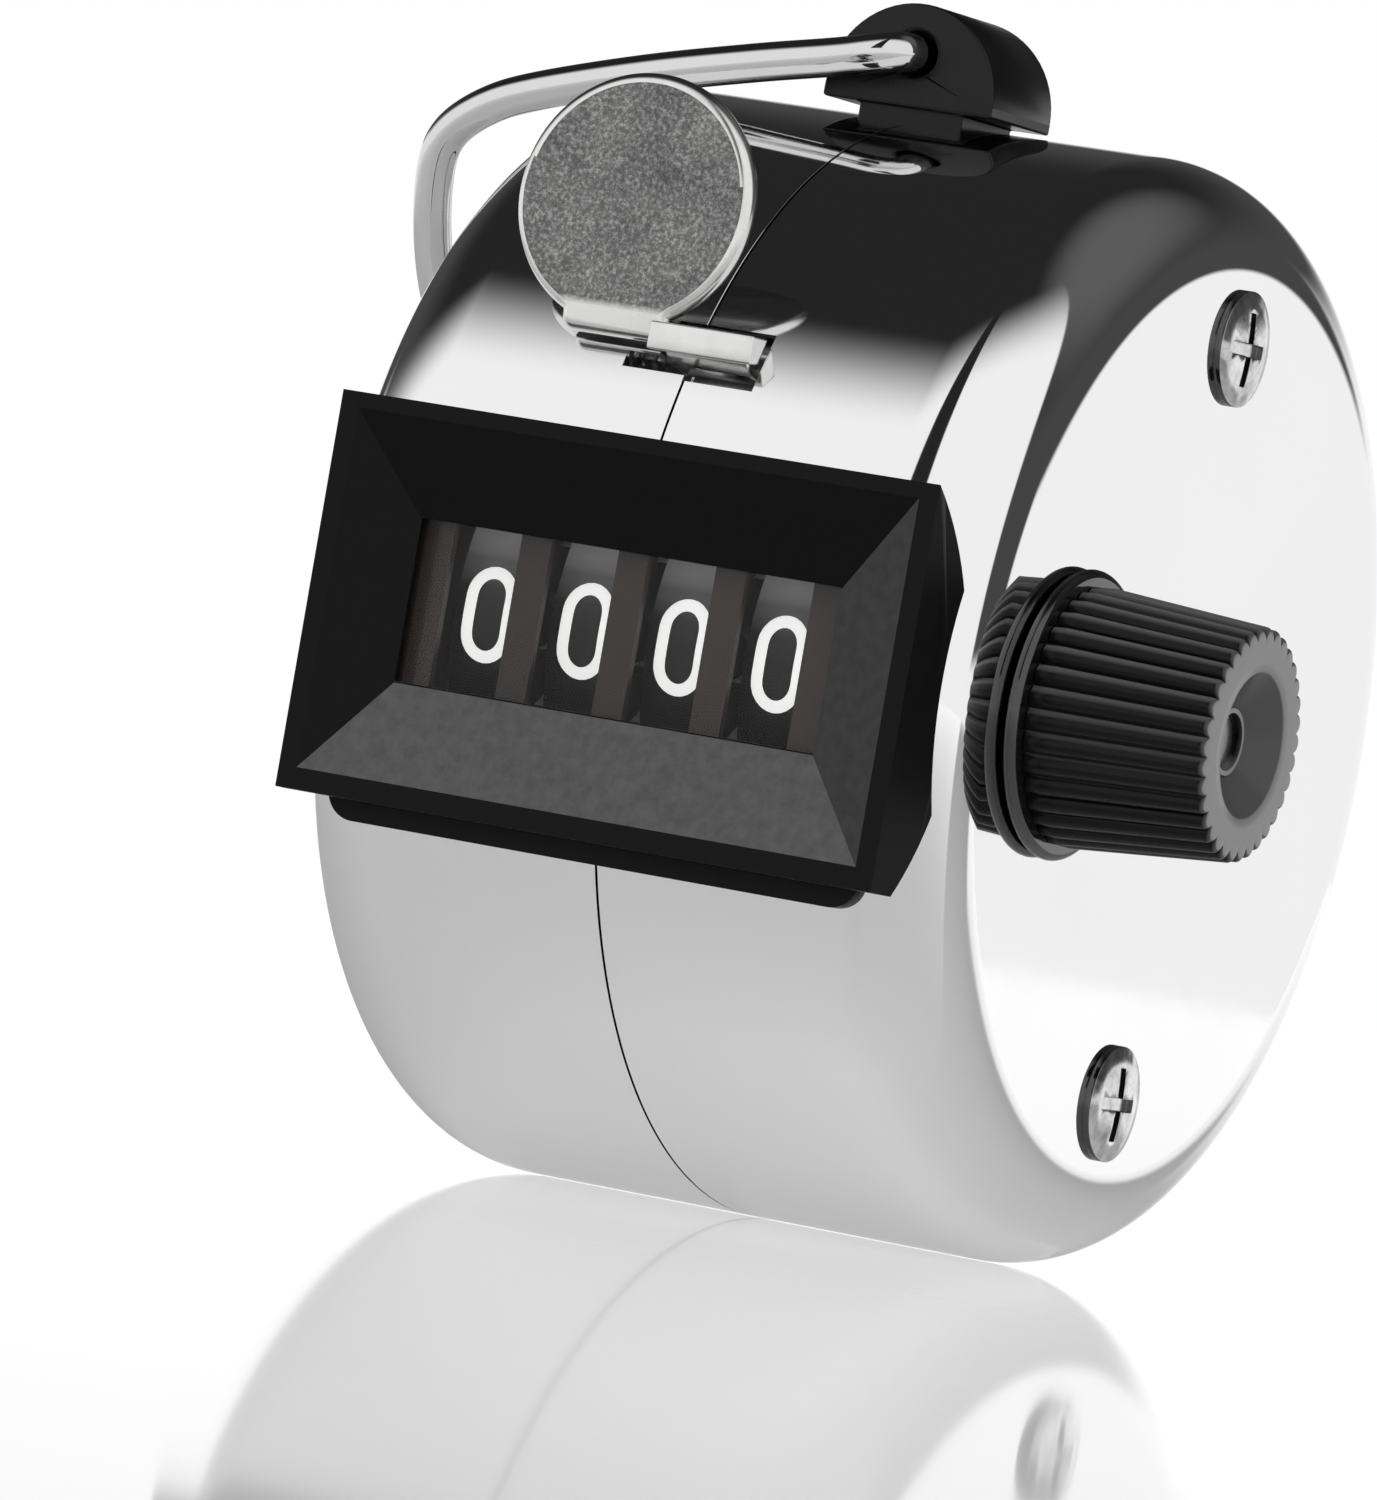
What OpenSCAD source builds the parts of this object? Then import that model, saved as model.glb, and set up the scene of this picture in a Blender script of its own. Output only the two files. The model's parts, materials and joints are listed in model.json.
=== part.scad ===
// Hand tally counter: a drum-shaped steel case with a four-digit counting train,
// a thumb lever, a reset knob and a finger ring.
// Sub-parts are drawn about the drum's own centre, with the drum's axis along X,
// the digit window towards -Y and the ring block towards +Z.
// placed() then moves them so that the origin is under the middle of the object.

/* [Case] */
// Outer radius of the drum
drum_r = 22; // [21.8:0.1:22.2]
// Width of the drum along its axis
case_w = 28.3; // [28.2:0.1:28.6]
// Radius of the rounded edge between rim and side
edge_r = 4.2; // [4:0.1:4.4]
// Thickness of the drawn steel shells
sheet = 0.7; // [0.6:0.05:0.8]
// Width of the joint line between the two shells
seam_gap = 0.1; // [0.06:0.02:0.14]
// Distance of the case screws from the drum's axis
screw_reach = 15.0; // [14.8:0.1:15.1]
// Radius of the case screws' heads
screw_head_r = 2.3; // [2.2:0.05:2.4]

/* [Window bezel] */
// Width of the bezel's front
bezel_w = 25.7; // [25.3:0.1:26]
// Height of the bezel's front
bezel_h = 15.6; // [15.2:0.1:15.8]
// How far the bezel's front stands out from the drum's foremost line
bezel_proud = 0.7; // [0.6:0.05:0.9]
// Width of the window
window_w = 18.1; // [17.8:0.1:18.3]
// Height of the window
window_h = 6.35; // [6.2:0.05:6.5]
// Depth of the sloping surround
funnel_depth = 1.0; // [0.9:0.05:1.1]

/* [Counting train] */
// Radius of the number wheels
wheel_r = 8.6; // [8.4:0.05:8.6]
// Spacing of the number wheels
wheel_pitch = 4.2; // [4.2:0.02:4.24]
// Width of a number wheel's rim
rim_w = 3.0; // [2.9:0.05:3.0]
// Radius of the shaft that carries the wheels and the knob
shaft_r = 1.0; // [0.95:0.01:1.05]
// Radial clearance of turning parts on their pins
running_gap = 0.06; // [0.04:0.01:0.08]
// Teeth of the gear on the side of a wheel
gear_teeth = 20; // [20:20]
// Teeth of a carry pinion
pinion_teeth = 8; // [8:8]
// Gear size: pitch diameter divided by teeth
gear_module = 0.66; // [0.66:0.005:0.67]
// Outer radius of the ratchet
ratchet_r = 6.2; // [6:0.05:6.2]

/* [Reset knob] */
// Radius of the knob's smooth collar
collar_r = 5.65; // [5.6:0.05:5.75]
// Radius of the fluted grip next to the collar
grip_r = 5.1; // [5.05:0.05:5.2]
// Radius of the fluted grip at its end
grip_end_r = 4.55; // [4.5:0.05:4.7]
// Length of the fluted grip
grip_l = 7.3; // [7.2:0.1:7.6]
// Number of flutes
flutes = 34; // [30:1:36]

/* [Thumb lever] */
// Radius of the thumb pad
pad_r = 5.0; // [4.9:0.05:5.05]
// Thickness of the lever's sheet
lever_t = 0.8; // [0.75:0.05:0.8]
// Lean of the pad from upright
pad_lean = 5; // [5:1:7]

/* [Ring and its block] */
// Width of the ring block
block_w = 7.4; // [7.3:0.1:7.5]
// Depth of the ring block along the ring's hinge
block_d = 5.7; // [5.5:0.1:5.8]
// Radius of the ring's wire
wire_r = 0.78; // [0.76:0.01:0.8]
// Height of the ring's hinge above the drum's axis
hinge_z = 24.35; // [24.3:0.05:24.45]

/* [Hidden] */
$fn = 64;
eps = 0.01;

half_w = case_w / 2;
face_in = half_w - sheet;

// Number wheels turn on this line, which the reset knob shares.
axle_y = -11.1;
axle_z = -0.3;
train_x = -0.25;
wheel_x = [for (i = [0:3]) train_x + (1.5 - i) * wheel_pitch];
hub_r = 2.3;
hub_w = wheel_pitch - 0.1;
side_gear_w = 0.45;

// Carry pinions turn on this line, one centre distance from the axle.
pinion_reach = gear_module * (gear_teeth + pinion_teeth) / 2;
pinion_y = axle_y + pinion_reach * cos(45);
pinion_z = axle_z - pinion_reach * sin(45);
pinion_shaft_r = 0.5;
pinion_w = 1.0;

// Lever pivot and the pivot of the pawl that it carries.
pivot_y = -16.6;
pivot_z = 10.7;
pivot_r = 0.7;
pawl_y = -7.6;
pawl_z = 11;
pawl_pin_r = 0.6;
crank_x = 7.6;
crank_w = 0.8;
ratchet_x = 8.5;
ratchet_w = 0.9;

// Side plates of the inner frame.
plate_x = 9.8;
plate_t = 0.8;
spacer_r = 1.0;
spacer_end_r = 0.6;
spacers = [[-15.9, -9.4], [-0.9, 0], [-9.6, 14.2]];

screw_y = -0.6;
screws = [[screw_y, screw_reach], [screw_y, -screw_reach]];
screw_r = 1.2;
pillar_r = 2.6;
pillar_end_r = 1.8;

bezel_z = -0.38;
bezel_front = -drum_r - bezel_proud;
window_y = bezel_front + funnel_depth;
window_z = bezel_z + 0.14;
plug_w = 22.6;
plug_h = 13.4;
plug_back = -19.3;
lens_w = window_w + 1.3;
lens_h = window_h + 1.3;
lens_t = 0.5;
mask_t = 0.35;

// The lever's slot is deeper in the right shell than in the left one.
slot_left = -2.75;
slot_step = -1.2;
slot_right = 2.95;
slot_low = 9.75;
slot_low_left = 9.97;
slot_high_left = 10.6;
slot_high = 12.05;

pad_x = -3.5;
pad_y = -19.7;
pad_z = 16.35;
neck_left = -2.06;
neck_right = 2.45;
neck_low = -5.33;
tab_left = -1.6;
tab_right = 2.87;
arm_left = -0.9;
arm_right = 2.6;

collar_x = half_w + 0.1;
collar_w = 0.6;
grip_x = collar_x + collar_w;
knob_end = grip_x + grip_l;
knob_recess = 1.1;
shaft_end = knob_end - knob_recess - 0.2;
bush_r = 2.5;

block_r = block_w / 2;
block_x = 0.2;
block_y = -2.1;
arc_z = 22.67;
block_base = 22.25;
foot_w = 4.6;
foot_d = 4.8;
ring_pin_r = 0.72;
ring_bore_r = 0.8;
ring_left = -19.6;
ring_front = block_y - block_d / 2 - 0.3;
ring_rear = block_y + block_d / 2 + 0.35;

// Route of the finger ring's wire, from its front end to its rear end.
ring_route = [
    [block_x, ring_front, hinge_z], [0, -6.2, 24.27], [-0.9, -6.6, 24.02], [-2.6, -6.5, 23.66],
    [-5.93, -6.4, 23.02], [-10.58, -6.4, 21.98], [-15.2, -6.4, 20.7], [-17.4, -6.35, 19.8],
    [-18.9, -6.2, 18.6], [-19.45, -5.9, 17.2], [ring_left, -5.1, 14.8], [ring_left, -3.6, 12.3],
    [ring_left, -1.2, 10.3], [ring_left, 2, 9.3], [ring_left, 5.3, 9.7], [-19.5, 8.2, 11.6], [-19, 10, 14.4],
    [-17.6, 10.5, 17.2], [-15.3, 10.4, 19.3], [-12.4, 10.2, 20.6], [-9.2, 9.6, 21.3], [-5.8, 7.9, 22.1],
    [-2.8, 5.2, 23.2], [-0.8, 2.9, 24.1], [0.1, 1.8, 24.32], [block_x, ring_rear, hinge_z]
];

shift = [
    -(knob_end + ring_left - wire_r) / 2,
    -(bezel_front + drum_r) / 2,
    drum_r
];

// --- helpers -------------------------------------------------------------

// Moves a sub-part from the drum's centre to the object's frame.
module placed() {
    translate(shift) children();
}

// Extrudes a (Y, Z) outline along X, from x for a width w.
module slab(x, w) {
    translate([x, 0, 0]) rotate([90, 0, 90]) linear_extrude(w) children();
}

// Round bar along X through (y, z), from x for a length l.
module bar(y, z, x, l, r) {
    translate([x, y, z]) rotate([0, 90, 0]) cylinder(h = l, r = r);
}

// Round taper along X through (y, z).
module taper(y, z, x, l, r1, r2) {
    translate([x, y, z]) rotate([0, 90, 0]) cylinder(h = l, r1 = r1, r2 = r2);
}

// Box given by two opposite corners.
module box(low, high) {
    translate(low) cube(high - low);
}

function unit(v) = v / norm(v);
function reject(v, t) = v - (v * t) * t;

// Point at u between b and c on the smooth curve through a, b, c and d.
function smooth_point(a, b, c, d, u) =
    b + 0.5 * u * (c - a + u * (2 * a - 5 * b + 4 * c - d + u * (3 * (b - c) + d - a)));

// Smooth curve through the points p, with n steps from each point to the next.
function smooth_route(p, n) = concat(
    [for (i = [0:len(p) - 2], k = [0:n - 1])
        smooth_point(p[max(i - 1, 0)], p[i], p[i + 1], p[min(i + 2, len(p) - 1)], k / n)],
    [p[len(p) - 1]]
);

function tangents(p) = [for (i = [0:len(p) - 1])
    unit(p[min(i + 1, len(p) - 1)] - p[max(i - 1, 0)])];

// Side vectors carried along the route with the least twist.
function side_vectors(t, first) = [
    for (i = 0, s = unit(reject(first, t[0])); i < len(t);
        i = i + 1, s = unit(reject(s, t[min(i, len(t) - 1)]))) s
];

// Round wire of radius r along the points p.
module wire(p, r, sides, first) {
    t = tangents(p);
    s = side_vectors(t, first);
    rings = [for (i = [0:len(p) - 1], k = [0:sides - 1])
        p[i] + r * (cos(360 * k / sides) * s[i] + sin(360 * k / sides) * cross(t[i], s[i]))];
    last = (len(p) - 1) * sides;
    walls = [for (i = [0:len(p) - 2], k = [0:sides - 1])
        let (a = i * sides, b = a + sides, n = (k + 1) % sides) [a + k, b + k, b + n, a + n]];
    caps = [[for (k = [0:sides - 1]) k], [for (k = [sides - 1:-1:0]) last + k]];
    polyhedron(points = rings, faces = concat(walls, caps), convexity = 6);
}

// Outline of half the drum, as radius against distance from the seam.
module half_outline(r, w, e) {
    square([r, w - e]);
    square([r - e, w]);
    translate([r - e, w - e]) circle(e);
}

// The whole drum, grown by g.
module drum(g) {
    for (side = [0, 1]) {
        mirror([side, 0, 0]) rotate([0, 90, 0]) rotate_extrude($fn = 128)
            half_outline(drum_r + g, half_w + g, edge_r + g);
    }
}

// --- case ----------------------------------------------------------------

module half_shell() {
    rotate([0, 90, 0]) rotate_extrude($fn = 128) difference() {
        half_outline(drum_r, half_w, edge_r);
        half_outline(drum_r - sheet, face_in, edge_r - sheet);
        square([2 * drum_r, seam_gap / 2]);
    }
}

// Openings that cross the seam: bezel, lever slot and the ring block's foot.
module seam_openings() {
    bezel_clear = 0.1;
    box([-plug_w / 2 - bezel_clear, -drum_r - 1, bezel_z - plug_h / 2 - bezel_clear],
        [plug_w / 2 + bezel_clear, -14, bezel_z + plug_h / 2 + bezel_clear]);
    box([slot_left, -drum_r - 1, slot_low_left], [0, -14, slot_high_left]);
    box([slot_step, -drum_r - 1, slot_low_left], [0, -14, slot_high]);
    box([-eps, -drum_r - 1, slot_low], [slot_right, -14, slot_high]);
    translate([block_x, block_y, 0]) box([-foot_w / 2, -foot_d / 2, 16], [foot_w / 2, foot_d / 2, drum_r + 1]);
}

module left_shell() {
    color("silver") placed() difference() {
        mirror([1, 0, 0]) half_shell();
        seam_openings();
    }
}

module right_shell() {
    lip_w = 1.4;
    color("silver") placed() difference() {
        union() {
            half_shell();
            // Joggled lip that reaches under the left shell.
            rotate([0, 90, 0]) rotate_extrude($fn = 128) translate([drum_r - 2 * sheet, -lip_w])
                square([sheet - 0.02, 2 * lip_w]);
            // Rolled land that joins the lip to the shell.
            rotate([0, 90, 0]) rotate_extrude($fn = 128) translate([drum_r - 1.5 * sheet, lip_w / 2])
                square([sheet, lip_w / 2]);
        }
        seam_openings();
        bar(axle_y, axle_z, face_in - 1, 3, bush_r + 0.02);
        for (s = screws) bar(s[0], s[1], face_in - 1, 3, screw_r + 0.1);
    }
}

module case_pillars() {
    color("gainsboro") placed() for (s = screws) difference() {
        union() {
            bar(s[0], s[1], -plate_x, 2 * plate_x, pillar_r);
            bar(s[0], s[1], -face_in, 2 * face_in, pillar_end_r);
        }
        bar(s[0], s[1], 3, face_in, screw_r);
    }
}

// Pan-head screw with a cross recess, in the right shell.
module case_screw() {
    head_h = 0.5;
    dome_r = 12;
    recess_w = 0.5;
    recess_l = 2.9;
    recess_floor = 0.15;
    shank_end = 4;
    difference() {
        union() {
            rotate([0, 90, 0]) rotate_extrude() translate([0, half_w]) intersection() {
                square([screw_head_r, head_h]);
                translate([0, head_h - dome_r]) circle(dome_r);
            }
            bar(0, 0, shank_end, half_w - shank_end + 0.2, screw_r - 0.02);
        }
        slab(half_w + recess_floor, 2) for (turn = [0, 90]) rotate(turn)
            square([recess_l, recess_w], center = true);
    }
}

module case_screws() {
    color("silver") placed() for (s = screws) translate([0, s[0], s[1]]) case_screw();
}

// --- window --------------------------------------------------------------

// Four-sided taper along Y, from size a at y0 to size b at y1, about height z.
module funnel(y0, a, y1, b, z) {
    corners = [[-1, -1], [1, -1], [1, 1], [-1, 1]];
    polyhedron(
        points = concat(
            [for (c = corners) [c[0] * a[0] / 2, y0, z + c[1] * a[1] / 2]],
            [for (c = corners) [c[0] * b[0] / 2, y1, z + c[1] * b[1] / 2]]),
        faces = [[3, 2, 1, 0], [4, 5, 6, 7], [0, 1, 5, 4], [1, 2, 6, 5], [2, 3, 7, 6], [3, 0, 4, 7]]
    );
}

module bezel() {
    rim = 0.75;
    side_flare = 2.2;
    top_flare = 0.4;
    flange_back = -16.4;
    skirt_r = 11.6;
    skirt_back = -19.0;
    skirt_drop = 0.8;
    lip_front = -20.9;
    lip_w = 23;
    lip_drop = 0.85;
    lip_h = 2.4;
    lens_y = window_y + 0.3;
    color("#1b1b1d") placed() difference() {
        union() {
            difference() {
                intersection() {
                    funnel(bezel_front, [bezel_w, bezel_h],
                        flange_back, [bezel_w + side_flare, bezel_h + top_flare], bezel_z);
                    // The skirt's sides end in an arc that meets the front's corners.
                    bar(skirt_back - skirt_r, bezel_z - skirt_drop, -drum_r, 2 * drum_r, skirt_r);
                }
                drum(0.02);
            }
            // Lip that lies on the drum below the front.
            difference() {
                translate([0, flange_back, bezel_z - bezel_h / 2 - lip_drop + lip_h / 2]) rotate([90, 0, 0])
                    linear_extrude(flange_back - lip_front) {
                        square([lip_w - lip_h, lip_h], center = true);
                        for (side = [-1, 1]) translate([side * (lip_w - lip_h) / 2, 0]) circle(lip_h / 2);
                    }
                drum(0.02);
            }
            box([-plug_w / 2, bezel_front + 0.4, bezel_z - plug_h / 2],
                [plug_w / 2, plug_back, bezel_z + plug_h / 2]);
            // Snap hooks that catch behind the shells.
            for (side = [-1, 1], end = [-1, 1]) translate([side * 5, 0, bezel_z + end * plug_h / 2])
                box([-1, plug_back - 0.6, -0.55], [1, plug_back, 0.55]);
        }
        funnel(bezel_front - eps, [bezel_w - 2 * rim, bezel_h - 2 * rim],
            window_y, [window_w, window_h], (bezel_z + window_z) / 2);
        box([-window_w / 2, window_y - 0.2, window_z - window_h / 2],
            [window_w / 2, plug_back + 1, window_z + window_h / 2]);
        box([-lens_w / 2 - 0.05, lens_y, window_z - lens_h / 2 - 0.05],
            [lens_w / 2 + 0.05, plug_back + 1, window_z + lens_h / 2 + 0.05]);
    }
}

module window_lens() {
    lens_y = window_y + 0.3;
    color("lightcyan", 0.35) placed()
        box([-lens_w / 2, lens_y, window_z - lens_h / 2], [lens_w / 2, lens_y + lens_t, window_z + lens_h / 2]);
}

module digit_mask() {
    mask_y = window_y + 0.3 + lens_t + 0.05;
    gap_w = 2.9;
    color("#2a221e") placed() difference() {
        box([-lens_w / 2, mask_y, window_z - lens_h / 2], [lens_w / 2, mask_y + mask_t, window_z + lens_h / 2]);
        for (x = wheel_x) box([x - gap_w / 2, mask_y - 1, window_z - window_h / 2 - 0.2],
            [x + gap_w / 2, mask_y + 1, window_z + window_h / 2 + 0.2]);
    }
}

// --- finger ring ---------------------------------------------------------

module ring_block() {
    mouth = 0.4;
    flange_t = 0.8;
    flange_top = drum_r - 2 * sheet - 0.9;
    flange_lap = 0.8;
    fit = 0.03;
    color("#202022") placed() translate([block_x, block_y, 0]) difference() {
        union() {
            intersection() {
                union() {
                    translate([0, block_d / 2, arc_z]) rotate([90, 0, 0])
                        cylinder(h = block_d, r = block_r, $fn = 96);
                    box([-block_r, -block_d / 2, block_base], [block_r, block_d / 2, arc_z]);
                }
                box([-block_w, -block_d, block_base], [block_w, block_d, hinge_z + 5]);
            }
            box([-foot_w / 2 + fit, -foot_d / 2 + fit, flange_top - 0.1],
                [foot_w / 2 - fit, foot_d / 2 - fit, block_base + 0.5]);
            // Flange that the two shells trap from inside.
            box([-foot_w / 2 - flange_lap, -foot_d / 2 - flange_lap, flange_top - flange_t],
                [foot_w / 2 + flange_lap, foot_d / 2 + flange_lap, flange_top]);
        }
        translate([0, block_d, hinge_z]) rotate([90, 0, 0]) cylinder(h = 2 * block_d, r = ring_bore_r);
        for (end = [0, 1]) mirror([0, end, 0]) translate([0, -block_d / 2 + mouth, hinge_z]) rotate([90, 0, 0])
            cylinder(h = mouth + eps, r1 = ring_bore_r, r2 = ring_bore_r + mouth / 2);
    }
}

// Round pin of the ring between two Y positions.
module ring_pin(y0, y1) {
    translate([block_x, y1, hinge_z]) rotate([90, 0, 0]) cylinder(h = y1 - y0, r = ring_pin_r);
}

module finger_ring() {
    pin_gap = 0.9;
    pin_root = 0.3;
    color("silver") placed() {
        wire(smooth_route(ring_route, 4), wire_r, 12, [0, 0, 1]);
        ring_pin(ring_front - pin_root, block_y - pin_gap);
        ring_pin(block_y + pin_gap, ring_rear + pin_root);
    }
}

// --- inner frame ---------------------------------------------------------

// Outline of a side plate, with bosses where pins and pillars pass.
module plate_outline() {
    polygon([[-18.2, 8], [-17.9, 10.4], [-17, 12.1], [-15, 12.8], [-10.5, 15.6], [-3.2, 17.9], [1.4, 17.5],
        [2.2, 14.6], [0.6, 11], [0.6, -11], [2.2, -14.6], [1.4, -17.5], [-3.2, -17.9], [-17.2, -10.8],
        [-17.6, -2]]);
}

module side_plate(x) {
    difference() {
        slab(x, plate_t) plate_outline();
        bar(axle_y, axle_z, x - 1, plate_t + 2, shaft_r + running_gap);
        bar(pivot_y, pivot_z, x - 1, plate_t + 2, pivot_r);
        bar(pinion_y, pinion_z, x - 1, plate_t + 2, pinion_shaft_r);
        for (s = spacers) bar(s[0], s[1], x - 1, plate_t + 2, spacer_end_r);
        for (s = screws) bar(s[0], s[1], x - 1, plate_t + 2, pillar_end_r);
    }
}

module frame_left_plate() {
    color("lightgray") placed() side_plate(-plate_x - plate_t);
}

module frame_right_plate() {
    color("lightgray") placed() side_plate(plate_x);
}

module frame_spacers() {
    end = plate_x + plate_t;
    color("darkgray") placed() for (s = spacers) {
        bar(s[0], s[1], -plate_x, 2 * plate_x, spacer_r);
        bar(s[0], s[1], -end, 2 * end, spacer_end_r);
    }
}

// Flanged bush in the right shell that steadies the knob's shaft.
module knob_bushing() {
    flange_t = 0.6;
    color("goldenrod") placed() difference() {
        union() {
            bar(axle_y, axle_z, face_in - flange_t, flange_t, bush_r + 1);
            bar(axle_y, axle_z, face_in - flange_t, flange_t + sheet + 0.1, bush_r);
        }
        bar(axle_y, axle_z, 10, 6, shaft_r + running_gap);
    }
}

// --- thumb lever and pawl ------------------------------------------------

module lever_pin() {
    end = plate_x + plate_t;
    color("darkgray") placed() bar(pivot_y, pivot_z, -end, 2 * end, pivot_r);
}

// Pad and neck: drawn flat in X and pad height, then leaned back.
module pad_plate() {
    corner_r = 0.6;
    neck_w = neck_right - neck_left;
    translate([pad_x, pad_y, pad_z]) rotate([-pad_lean, 0, 0]) {
        translate([0, lever_t, 0]) rotate([90, 0, 0]) {
            cylinder(h = lever_t, r = pad_r, $fn = 96);
            linear_extrude(lever_t) {
                translate([neck_left, neck_low + corner_r]) square([neck_w, -neck_low - corner_r]);
                translate([neck_left + corner_r, neck_low]) square([neck_w - corner_r, -neck_low]);
                translate([neck_left + corner_r, neck_low + corner_r]) circle(corner_r);
            }
        }
    }
}

module thumb_lever() {
    barrel_r = 1.3;
    barrel_end = crank_x + crank_w;
    color("lightgray") placed() difference() {
        union() {
            pad_plate();
            // Tab in front of the slot.
            slab(tab_left, tab_right - tab_left)
                polygon([[-20.2, 10.75], [-19.45, 10.75], [-18.85, 11.85], [-20.2, 11.85]]);
            // Arm that enters the case through the slot and reaches the pivot.
            slab(arm_left, arm_right - arm_left)
                polygon([[-19.9, 10.75], [-19.3, 10.3], [-16.6, 9.9], [-16.6, 11.4], [-18.5, 11.05],
                    [-19.6, 11.1]]);
            bar(pivot_y, pivot_z, arm_left, barrel_end - arm_left, barrel_r);
            // Crank that carries the pawl.
            slab(crank_x, crank_w) polygon([[-16.9, 11.95], [-7.4, 12.15], [-6.6, 11.6], [-6.5, 10.4],
                [-7.4, 9.85], [-16.3, 9.45]]);
        }
        bar(pivot_y, pivot_z, -12, 24, pivot_r + running_gap);
        bar(pawl_y, pawl_z, crank_x - 1, 3, pawl_pin_r);
    }
}

module lever_spring() {
    coil_r = 1.2;
    spring_wire_r = 0.2;
    steps = 46;
    step_turn = 36;
    start_turn = -30;
    coil_x = -4.4;
    coil_l = 2.6;
    leg_y = -10.3;
    leg_z = 13.1;
    coil = [for (i = [0:steps]) [
        coil_x + coil_l * i / steps,
        pivot_y + coil_r * sin(start_turn - step_turn * i),
        pivot_z + coil_r * cos(start_turn - step_turn * i)]];
    last = coil[steps];
    color("silver") placed() wire(concat([[coil_x, leg_y, leg_z]], coil, [[-1.12, last[1], last[2]]]),
        spring_wire_r, 8, [1, 0, 0]);
}

module pawl_pin() {
    color("darkgray") placed() bar(pawl_y, pawl_z, crank_x, ratchet_x + ratchet_w - crank_x, pawl_pin_r);
}

module drive_pawl() {
    pawl_x = crank_x + crank_w + 0.1;
    pawl_w = ratchet_x + ratchet_w - pawl_x - 0.05;
    boss_r = 1.2;
    color("gray") placed() difference() {
        union() {
            bar(pawl_y, pawl_z, pawl_x, pawl_w, boss_r);
            slab(pawl_x, pawl_w) polygon([[-7.3, 12.1], [-5.2, 11.2], [-3.4, 8], [-3, 4.2], [-3.6, 3.1],
                [-4.05, 3.5], [-4.05, 4.8], [-4.9, 7.6], [-6.6, 9.9], [-7.9, 9.95]]);
        }
        bar(pawl_y, pawl_z, pawl_x - 1, pawl_w + 2, pawl_pin_r + running_gap);
    }
}

// Wire that presses the pawl towards the ratchet.
module pawl_spring() {
    spring_wire_r = 0.15;
    wire_x = ratchet_x + ratchet_w / 2;
    root_x = crank_x + crank_w / 2;
    route = [[root_x, -10.4, 12.25], [root_x, -9.7, 12.7], [wire_x - 0.2, -7.4, 12.95], [wire_x, -5, 11.9],
        [wire_x, -4.1, 9.6]];
    color("silver") placed() wire(smooth_route(route, 4), spring_wire_r, 8, [1, 0, 0]);
}

// --- reset shaft and knob ------------------------------------------------

module number_shaft() {
    left_end = -plate_x - plate_t - 1.3;
    groove_w = 0.5;
    groove_end = wheel_x[0] + wheel_pitch / 2;
    color("silver") placed() difference() {
        bar(axle_y, axle_z, left_end, shaft_end - left_end, shaft_r);
        // Groove that the wheels' reset dogs drop into.
        translate([0, axle_y, axle_z]) box([-groove_end, -groove_w / 2, shaft_r - 0.35],
            [groove_end, groove_w / 2, shaft_r + 1]);
        // Groove of the retaining clip.
        translate([0, axle_y, axle_z]) difference() {
            bar(0, 0, left_end + 0.4, 0.5, shaft_r + 1);
            bar(0, 0, left_end, 2, shaft_r - 0.25);
        }
    }
}

// Open ring that keeps the shaft from sliding out towards the knob.
module shaft_clip() {
    clip_x = -plate_x - plate_t - 0.85;
    color("dimgray") placed() translate([0, axle_y, axle_z]) difference() {
        bar(0, 0, clip_x, 0.4, shaft_r + 1.1);
        bar(0, 0, clip_x - 1, 3, shaft_r - 0.23);
        box([clip_x - 1, -0.6, 0], [clip_x + 1, 0.6, 4]);
    }
}

module reset_knob() {
    flute_r = 0.3;
    flute_out = 0.1;
    recess_r = 2.83;
    recess_floor_r = 1.45;
    slope = atan((grip_r - grip_end_r) / grip_l);
    color("#1c1c1e") placed() translate([0, axle_y, axle_z]) difference() {
        union() {
            bar(0, 0, collar_x, collar_w, collar_r);
            taper(0, 0, grip_x - eps, grip_l + eps, grip_r, grip_end_r);
        }
        for (i = [0:flutes - 1]) rotate([360 * i / flutes, 0, 0])
            translate([grip_x, 0, grip_r + flute_out]) rotate([0, 90 + slope, 0])
                cylinder(h = grip_l + 1, r = flute_r, $fn = 24);
        bar(0, 0, collar_x - 1, grip_l + 4, shaft_r);
        taper(0, 0, knob_end - knob_recess, knob_recess + eps, recess_floor_r, recess_r);
    }
}

// --- counting train ------------------------------------------------------

// Spur gear outline with straight-sided teeth; slim leaves extra backlash.
module gear_outline(teeth, slim) {
    pitch_r = gear_module * teeth / 2;
    tip = pitch_r + 0.85 * gear_module;
    root = pitch_r - 1.15 * gear_module;
    circle(root);
    for (i = [0:teeth - 1]) rotate(360 * i / teeth)
        polygon([[root - 0.3, -slim * 1.25], [tip, -slim * 0.55], [tip, slim * 0.55],
            [root - 0.3, slim * 1.25]]);
}

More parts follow.
